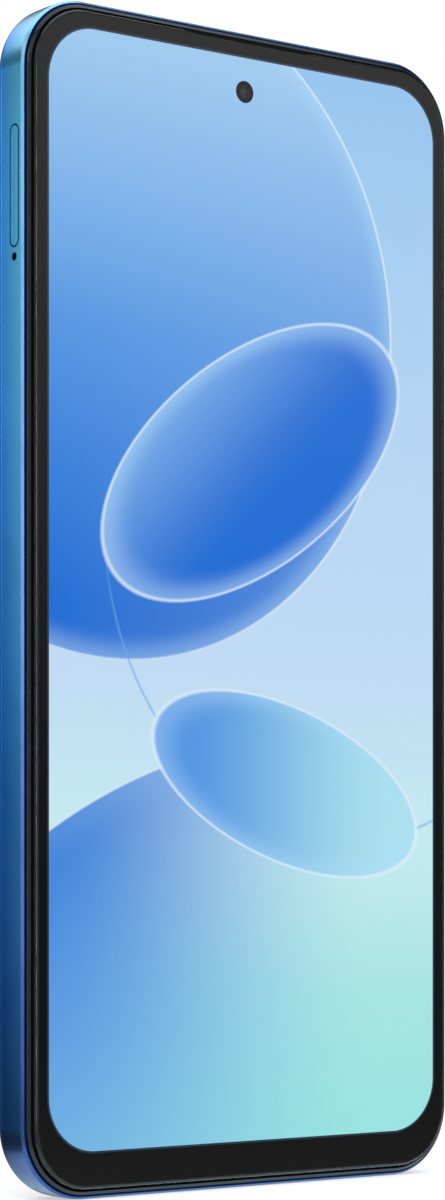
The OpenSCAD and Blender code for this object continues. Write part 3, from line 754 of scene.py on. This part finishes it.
def build_floor():
    """A pale floor that takes the shadow and fades into the white surround."""
    s = Shader("floor_matt", roughness=0.75, specular_ior_level=0.1)
    s.set("Base Color", s.mix(s.noise(120.0), (0.88, 0.88, 0.88, 1), (0.92, 0.92, 0.92, 1)))
    glow = s.tree.nodes.new("ShaderNodeEmission")
    away = s.tree.nodes.new("ShaderNodeMixShader")
    reach = s.tree.nodes.new("ShaderNodeVectorMath")
    reach.operation = "LENGTH"
    s.link(s.mm, reach.inputs[0])
    s.link(s.span(reach.outputs["Value"], 90, 260, 0.55, 1.0), away.inputs[0])
    s.link(s.bsdf.outputs[0], away.inputs[1])
    s.link(glow.outputs[0], away.inputs[2])
    s.link(away.outputs[0], s.tree.nodes["Material Output"].inputs["Surface"])
    bm = bmesh.new()
    bmesh.ops.create_grid(bm, x_segments=8, y_segments=8, size=4.0)
    mesh = bpy.data.meshes.new("floor")
    bm.to_mesh(mesh)
    bm.free()
    mesh.materials.append(s.material)
    floor = bpy.data.objects.new("floor", mesh)
    floor.visible_glossy = False
    scene.collection.objects.link(floor)


build_world()
area_light("key", (-1.3, -1.2, 1.7), (0, 0, 0.08), 1.1, 34)
area_light("fill", (1.4, -0.9, 1.7), (0, 0, 0.08), 1.2, 22)
area_light("back", (0.3, 1.6, 1.6), (0, 0, 0.08), 1.2, 24)
build_floor()

# ---------------------------------------------------------------- casing

paint = blue_paint("paint_blue", roughness=0.23)
key_paint = blue_paint("key_paint", lift=1.05, roughness=0.28)
# The navy rim look is painted shade and painted reflection: it stands in for the dark reflection on the
# front rim and for the shade in the gaps round the tray, keys and ports. The cover's hidden inner faces
# take it too.
rim_and_gap_shade = plastic("rim_navy", (0.001, 0.020, 0.10), 0.25, size=0.12, depth_mm=0.001, metallic=0.9)


def build_cover():
    crown = 0.03
    reach = (FLAT_END_D - FLAT_START_D) / 2
    middle = (FLAT_END_D + FLAT_START_D) / 2
    flat = []
    for i in range(1, 8):
        share = i / 4 - 1
        flat.append((crown * share * share, middle + share * reach, 0))
    rear_r = BODY_D - FLAT_END_D
    rear = arc((rear_r + crown, FLAT_END_D), rear_r, 180, 90, 14)
    section = fillet(
        [
            (1.0, BODY_D - 0.8, 0),
            (1.0, 2.0, 0),
            (0.65, 2.0, 0),
            (0.65, RIM_D, 0.03),
            (0.38, RIM_D, 0.14),
            (crown, FLAT_START_D, 0.12),
            *flat,
            *[(a, b, 0) for a, b in rear],
        ]
    )
    cover = plan_loft("cover_shell", section)
    inner, outer = RAIL_X - 1.4, RAIL_X + 1
    left = mouth(-inner, -RAIL_X, -outer, 0.1)
    right = mouth(inner, RAIL_X, outer, 0.08)
    through = [(BODY_D - 2, 0), (BODY_D + 1, 0)]
    slit, key_gap = 0.16, 0.24
    mouths = [
        capsule("t", "x", (TRAY_D, TRAY_Z), TRAY_LEN + slit, TRAY_W + slit, left),
        capsule("t", "x", (TRAY_D, PIN_Z), 1.0, 1.0, left),
        capsule("t", "x", (KEY_D, POWER_Z), POWER_LEN + key_gap, KEY_W + key_gap, right),
        capsule("t", "x", (KEY_D, VOLUME_Z), VOLUME_LEN + key_gap, KEY_W + key_gap, right),
        capsule("t", "z", (JACK_X, JACK_D), 4.8, 4.8, mouth(1.4, 0, -1, 0.15)),
        capsule("t", "z", (0, PORT_D), 9.1, 3.32, mouth(1.4, 0, -1, 0.12)),
        capsule("t", "z", (MIC_X, PORT_D), 1.0, 1.0, mouth(1.4, 0, -1, 0.1)),
        *[capsule("t", "z", (x, PORT_D), 1.3, 1.3, mouth(1.4, 0, -1, 0.1)) for x in GRILLE],
        *[capsule("t", "d", (LENS_X, z), 9.8, 9.8, through) for z in LENS_ZS],
        capsule("t", "d", (FLASH_X, FLASH_Z), FLASH_HOLE, FLASH_HOLE, through),
    ]
    combine(cover, mouths)
    settle(cover, "phone", [paint, rim_and_gap_shade], ["rear_cover"])
    # Painted shade: the rim, the cover's inner faces and the walls and broken edges of the openings take
    # the navy, so the gaps read dark.
    paint_faces(cover, 1, on_rim_or_within)
    paint_faces(cover, 1, in_side_mouth)
    paint_faces(cover, 1, in_bottom_mouth)


def mouth(inner, face, outer, flare):
    """Stops of a cutter whose edge is broken where it meets the face."""
    step = math.copysign(flare, outer - face)
    return [(inner, 0), (face - step, 0), (face, flare), (outer, flare)]


def inside_plan(x, z, inset):
    """True if a place is inside the phone's outline, drawn in by a distance."""
    dx = max(abs(x) - (RAIL_X - CORNER_R), 0)
    dz = max(abs(z - BODY_H / 2) - (BODY_H / 2 - CORNER_R), 0)
    return math.hypot(dx, dz) < CORNER_R - inset


def on_rim_or_within(x, d, z, normal):
    """True on the front rim and on the cover's inner faces."""
    return d < RIM_D + 0.06 or inside_plan(x, z, 0.6) and d < BODY_D - 0.1


def in_side_mouth(x, d, z, normal):
    """True on the walls of an opening through a side rail, its broken edge included."""
    return 2 < d < FLAT_END_D and CORNER_R < z < BODY_H - CORNER_R and abs(normal.x) < 0.9


def in_bottom_mouth(x, d, z, normal):
    """True on the walls of an opening through the bottom edge, its broken edge included."""
    return 2 < d < FLAT_END_D and abs(x) < RAIL_X - CORNER_R and z < 2 and abs(normal.z) < 0.9


build_cover()

# ---------------------------------------------------------------- glass, ink and screen


def build_front():
    edge = [
        (GLASS_INSET + 0.55 * (1 - math.sin(t)), 0.5 * (1 - math.cos(t)))
        for t in (math.pi / 2 * i / 10 for i in range(11))
    ]
    pane_t = 0.05
    under = [(a + 0.09, b + pane_t) for a, b in reversed(edge[:-1])]
    skirt = [(GLASS_INSET, GLASS_D - 0.01), (GLASS_INSET + 0.09, GLASS_D - 0.01)]
    glass = plan_loft("front_glass", [*edge, *skirt, *under])
    slit_half, slit_depth, ease, top = 13.2, 0.48, 4.0, BODY_H - GLASS_INSET
    lower = []
    for i in range(49):
        x = -slit_half + 2 * slit_half * i / 48
        share = max(0.0, min(1.0, (slit_half - abs(x)) / ease))
        lower.append((x, top + 0.02 - slit_depth * share * share * (3 - 2 * share)))
    outline = [*lower, (slit_half, top + 1), (-slit_half, top + 1)]
    notch = loft("t", [[point(x, d, z) for x, z in outline] for d in (-1, GLASS_D + 0.1)])
    combine(glass, [notch])
    settle(glass, "phone", [clear_glass("cover_glass_clear")], ["cover_glass"])

    x0, x1, z0, z1 = PICTURE
    border = 0.3

    def window(inset):
        if inset < 3.0:
            return plan(inset)
        size = x1 - x0 + 2 * border, z1 - z0 + 2 * border
        return round_rect((x0 + x1) / 2, (z0 + z1) / 2, *size, PICTURE_R + border)

    ink_d = pane_t + 0.02
    ink_edge = [(a + 0.11, b + ink_d) for a, b in reversed(edge[:-1])]
    ink = plan_loft(
        "ink_border",
        [(GLASS_INSET + 0.11, GLASS_D), *ink_edge, (3.0, ink_d), (3.0, GLASS_D)],
        closed=True,
        outline=window,
    )
    lower_notch = [[point(x, d, z - 0.1) for x, z in outline] for d in (-1, GLASS_D + 0.1)]
    combine(ink, [loft("t", lower_notch)])
    punch = turned(
        "ink_eye",
        (PUNCH_X, PUNCH_Z),
        PUNCH_R,
        [(ink_d, PUNCH_R), (GLASS_D, PUNCH_R), (GLASS_D, 1.0), (ink_d, 1.0)],
        closed=True,
    )
    matt = {"size": 0.4, "depth_mm": 0.001, "specular_ior_level": 0.0}
    black = plastic("ink_black", (0.003, 0.003, 0.003), 0.6, **matt)
    settle(ink, "phone", [black])
    seat = GLASS_D + 0.2
    gasket = plan_loft(
        "frame_gasket",
        [(1.11, seat - 0.06), (1.11, seat), (1.58, seat), (1.58, seat - 0.06)],
        closed=True,
    )
    settle(gasket, "phone", [black])
    trim = plan_loft(
        "frame_trim",
        [
            (0.68, 1.9),
            (0.68, 1.02),
            (0.71, 0.985),
            (1.08, 0.73),
            (1.12, 0.73),
            (1.12, 0.8),
            (0.75, 1.1),
            (0.75, 1.9),
        ],
        closed=True,
    )
    satin = plastic("frame_trim_black", (0.002, 0.006, 0.013), 0.12, size=0.15, depth_mm=0.001)
    settle(trim, "phone", [satin])
    settle(punch, "phone", [black])

    panel_size = panel_hi.x - panel_lo.x, panel_hi.z - panel_lo.z
    panel_outline = round_rect(0, (panel_lo.z + panel_hi.z) / 2, *panel_size, 7.2)
    screen = plan_loft(
        "screen",
        [(0, panel_hi.y), (0, GLASS_D), (border, GLASS_D), (border, ink_d + 0.01)],
        outline=lambda inset: panel_outline if inset == 0 else window(3.0),
    )
    hole_r = PUNCH_R - 0.02
    hole = turned("t", (PUNCH_X, PUNCH_Z), hole_r, [(-1, hole_r), (3, hole_r)])
    combine(screen, [hole])
    side = metal("panel_side", (0.32, 0.33, 0.35), 0.4)
    settle(screen, "phone", [Wallpaper("picture").finish(), side], ["display_panel"])
    paint_faces(screen, 1, lambda x, d, z, n: n.y > -0.5)


def build_front_camera():
    funnel = [
        (2.4, 1.35, 0),
        (0.75, 1.35, 0.05),
        (0.75, 1.3, 0),
        (0.09, 1.3, 0),
        (0.09, 0.92, 0.03),
        (0.30, 0.62, 0),
        (0.30, 0.3, 0),
    ]
    barrel = turned("t", (PUNCH_X, PUNCH_Z), 1.35, fillet(funnel))
    base = round_rect(PUNCH_X, PUNCH_Z, 5.8, 5.8, 0.6, 6)
    box = loft("t", [[point(x, d, z) for x, z in base] for d in (2.4, 4.2)])
    body = gather("front_camera_unit", [barrel, box])
    black = plastic("lens_barrel_black", (0.004, 0.004, 0.004), 0.5, specular_ior_level=0.1)
    settle(body, "phone", [black], ["front_camera"])
    dome = turned("front_lens", (PUNCH_X, PUNCH_Z), 0.62, [(0.5, 0.62), *dome_profile(0.62, 0.34, 0.2)])
    settle(dome, "phone", [coated_lens("front_lens_glass", (0.010, 0.007, 0.006, 1))])


def dome_profile(radius, d_edge, d_top, steps=8):
    """(depth, radius) points of a shallow dome from its edge to its top."""
    turn = [math.pi / 2 * i / steps for i in range(steps + 1)]
    return [(d_edge + (d_top - d_edge) * math.sin(t), radius * math.cos(t)) for t in turn]


build_front()
build_front_camera()

# ---------------------------------------------------------------- rear cameras and flash


def build_island():
    size = island_hi.x - island_lo.x, island_hi.z - island_lo.z
    mid = (island_lo.x + island_hi.x) / 2, (island_lo.z + island_hi.z) / 2
    top = island_hi.y
    section = fillet([(0, BODY_D, 0), (0, top, 0.35), (3, top, 0)], steps=8)
    rings = []
    for inset, d in section:
        outline = round_rect(*mid, size[0] - 2 * inset, size[1] - 2 * inset, 7 - inset, 16)
        rings.append([point(x, d, z) for x, z in outline])
    island = loft("camera_plate", rings)
    well = [(BODY_D - 1, 0), (top - 0.08, 0), (top, 0.08), (top + 1, 0.08)]
    wells = [capsule("t", "d", (LENS_X, z), LENS_WELL, LENS_WELL, well, steps=24) for z in LENS_ZS]
    wells.append(capsule("t", "d", (FLASH_X, FLASH_Z), FLASH_HOLE, FLASH_HOLE, well))
    combine(island, wells)
    gloss = blue_paint("island_gloss", lift=0.55, roughness=0.12, coat=1.0)
    settle(island, "phone", [gloss], ["camera_island"])


def build_rear_lenses():
    top = ring_hi.y
    spun = metal("ring_spun", (0.30, 0.46, 0.70), 0.2, stretch=(1, 1, 1), size=0.5)
    black = plastic("lens_mask_black", (0.004, 0.004, 0.005), 0.35, size=0.2, depth_mm=0.001)
    ring_section = [
        (BODY_D, 4.9),
        (BODY_D + 0.45, 4.9),
        (BODY_D + 0.45, 5.6),
        (top - 0.12, 5.6),
        (top, 5.74),
        (top, 6.02),
        (top - 0.06, 6.07),
        (top - 0.06, 6.13),
        (top, 6.18),
        (top, 6.38),
        (top - 0.06, 6.52),
        (top - 0.22, RING_R),
        (BODY_D, RING_R),
    ]
    rings = [turned("t", (LENS_X, z), RING_R, ring_section, closed=True, steps=40) for z in LENS_ZS]
    settle(gather("lens_rings", rings), "phone", [spun], ["camera_rings"])

    pane = [(window_lo.y, WINDOW_R), (window_hi.y - 0.06, WINDOW_R), (window_hi.y, WINDOW_R - 0.07)]
    panes = [turned("t", (LENS_X, z), WINDOW_R, pane, steps=40) for z in LENS_ZS]
    windows = gather("lens_windows", panes)
    settle(windows, "phone", [clear_glass("lens_pane", 0.4)], ["camera_windows"])

    masks = []
    back, face = window_lo.y - 0.04, window_lo.y - 0.01
    for z, inner in zip(LENS_ZS, (3.35, 2.75)):
        section = [(back, MASK_R), (face, MASK_R), (face, inner), (back, inner)]
        masks.append(turned("t", (LENS_X, z), MASK_R, section, closed=True, steps=40))
    settle(gather("lens_masks", masks), "phone", [black])

    build_lens_unit("main_lens_barrel", LENS_ZS[0], 3.22, 4.5, 8.0, "lens_barrel", "autofocus_lens")
    build_lens_unit("second_lens_barrel", LENS_ZS[1], 2.6, 6.4, 8.2, "phone", "second_camera")


def build_lens_unit(name, z, radius, start, top, body, node):
    """A stepped black barrel with a domed front element."""
    glass_r = radius * 0.58
    steps = [(start, radius), (top - 0.1, radius), (top, radius - 0.1)]
    for i in range(4):
        edge = radius * 0.9 - (radius * 0.9 - glass_r) * i / 4
        steps += [(top - 0.12 * i, edge), (top - 0.12 * (i + 1), edge - 0.04)]
    steps += [(top - 0.5, glass_r), (top - 0.9, glass_r)]
    parts = [turned("t", (LENS_X, z), radius, steps, steps=32)]
    if node == "second_camera":
        box = round_rect(LENS_X, z, 6.2, 6.2, 0.5, 6)
        parts.append(loft("t", [[point(x, d, zz) for x, zz in box] for d in (3.2, start)]))
    black = plastic(f"{name}_black", (0.008, 0.008, 0.009), 0.4, size=0.1, depth_mm=0.002)
    settle(gather(name, parts), body, [black], [node])
    profile = [(top - 0.9, glass_r), *dome_profile(glass_r, top - 0.5, top - 0.12, 12)]
    dome = turned(f"{name}_glass", (LENS_X, z), glass_r, profile, steps=32)
    settle(dome, body, [coated_lens(f"{name}_coat", (0.05, 0.02, 0.09, 1))])


def build_flash():
    top = flash_hi.y
    ripples = [(flash_lo.y, FLASH_R), (top - 0.06, FLASH_R), (top, FLASH_R - 0.07), (top, 1.95)]
    for i in range(5):
        edge = 1.9 - 0.36 * i
        ripples += [(top - 0.12, edge), (top - 0.04, edge - 0.2)]
    ripples.append((top - 0.04, 0.1))
    lens = turned("flash_lens", (FLASH_X, FLASH_Z), FLASH_R, ripples)
    clear = plastic("flash_clear", (0.86, 0.84, 0.76), 0.16, size=0.8, depth_mm=0.002, coat_weight=0.5)
    settle(lens, "phone", [clear], ["flash_window"])


def build_usb_contacts():
    pads = []
    for i in range(12):
        x = (i - 5.5) * 0.5
        for d in (PORT_D - 0.37, PORT_D + 0.34):
            outline = round_rect(x, 3.9, 0.26, 4.0, 0.06, 3)
            pads.append(loft("t", [[point(a, dd, b) for a, b in outline] for dd in (d, d + 0.03)]))
    gold = metal("contact_gold", (0.85, 0.62, 0.25), 0.25)
    settle(gather("usb_contacts", pads), "phone", [gold])


build_island()
build_rear_lenses()
build_flash()
build_usb_contacts()

# ---------------------------------------------------------------- SIM tray


def build_tray():
    half, head = 7.6, 1.25
    face = -RAIL_X + 0.012
    stops = [(face, -0.08), (face + 0.05, -0.02), (face + 0.12, 0), (-RAIL_X + head, 0)]
    tray = capsule("tray_piece", "x", (TRAY_D, TRAY_Z), TRAY_LEN, TRAY_W, stops)
    plate_len = tray_hi.x + RAIL_X - head + 0.02
    centre = tray_hi.x - plate_len / 2
    outline = round_rect(centre, TRAY_Z, plate_len, 2 * half, 0.6, 6)
    plate = loft("t", [[point(x, d, z) for x, z in outline] for d in (3.2, 4.1)])
    combine(tray, [plate], "UNION")
    pockets = []
    for x0, length, width in ((-35.1, 8.8, 12.3), (-25.3, 8.8, 12.3), (-15.5, 15, 11.1)):
        cx = x0 + length / 2
        for rim, depths in ((0, (3.4, 5)), (1.4, (2, 5))):
            hole = round_rect(cx, TRAY_Z, length - rim, width - rim, 0.5, 6)
            pockets.append(loft("t", [[point(x, d, z) for x, z in hole] for d in depths]))
    combine(tray, pockets)
    settle(tray, "tray", [paint, rim_and_gap_shade], ["sim_tray"])
    # Painted shade: the tray head's sides and broken edge take the navy, so the gap round it reads dark.
    paint_faces(tray, 1, lambda x, d, z, n: x < -RAIL_X + head - 0.1 and n.x > -0.9)


build_tray()

# ---------------------------------------------------------------- what the CAD already has right

SLOT_LOOKS = {
    "frame_black": lambda n: plastic(n, (0.002, 0.006, 0.013), 0.1, size=0.15, depth_mm=0.001),
    "diffuser_white": lambda n: film(n, (0.75, 0.77, 0.78), 0.5),
    "tape_black": lambda n: film(n, (0.01, 0.01, 0.01), 0.6),
    "flex_amber": lambda n: film(n, (0.48, 0.20, 0.03), 0.3, line=0.5),
    "mesh_dark": lambda n: woven(n, (0.008, 0.008, 0.009, 1), 0.16),
    "sheet_metal": lambda n: metal(n, (0.62, 0.62, 0.60), 0.32),
    "diaphragm_film": lambda n: film(n, (0.20, 0.20, 0.21), 0.3, line=0.8),
    "module_black": lambda n: plastic(n, (0.012, 0.012, 0.013), 0.4),
    "board_green": lambda n: circuit(n, (0.015, 0.10, 0.05)),
    "chip_black": lambda n: plastic(n, (0.02, 0.02, 0.022), 0.45, size=0.08),
    "bracket_black": lambda n: plastic(n, (0.02, 0.02, 0.02), 0.5, size=0.3),
    "screw_steel": lambda n: metal(n, (0.55, 0.54, 0.52), 0.28, stretch=(1, 1, 1)),
    "graphite": lambda n: plastic(n, (0.03, 0.03, 0.032), 0.5, size=1.2, metallic=0.4),
    "battery_foil": lambda n: film(n, (0.035, 0.035, 0.04), 0.35, line=9.0, metallic=0.6),
    "adhesive_white": lambda n: film(n, (0.7, 0.7, 0.66), 0.6),
    "cable_grey": lambda n: plastic(n, (0.10, 0.10, 0.10), 0.4),
    "nickel": lambda n: metal(n, (0.60, 0.58, 0.54), 0.25),
    "magnet": lambda n: metal(n, (0.45, 0.45, 0.46), 0.3, stretch=(1, 1, 1)),
    "rotor_tungsten": lambda n: metal(n, (0.33, 0.32, 0.31), 0.35, stretch=(1, 1, 1)),
    "phosphor": lambda n: plastic(n, (0.70, 0.55, 0.10), 0.5),
    "rubber_black": lambda n: plastic(n, (0.015, 0.015, 0.015), 0.7),
    "key_blue": lambda n: key_paint,
    "sensor_black": lambda n: plastic(n, (0.012, 0.014, 0.02), 0.25, size=0.1, depth_mm=0.002),
}


def dress_cad_nodes():
    """Gives each CAD node that still shows a material, and soft edges."""
    made = {}
    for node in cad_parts.values():
        if node.hide_render:
            continue
        for place in node.material_slots:
            slot = place.material.name
            if slot not in made:
                made[slot] = SLOT_LOOKS[slot](f"look_{slot}")
            place.material = made[slot]
        weld = node.modifiers.new("weld", "WELD")
        weld.merge_threshold = 1e-6
        soft = node.modifiers.new("soft_edges", "BEVEL")
        soft.width = 0.05 * MM
        soft.segments = 2
        soft.angle_limit = math.radians(40)
        soft.use_clamp_overlap = True
        normals = node.modifiers.new("normals", "WEIGHTED_NORMAL")
        normals.keep_sharp = True


dress_cad_nodes()
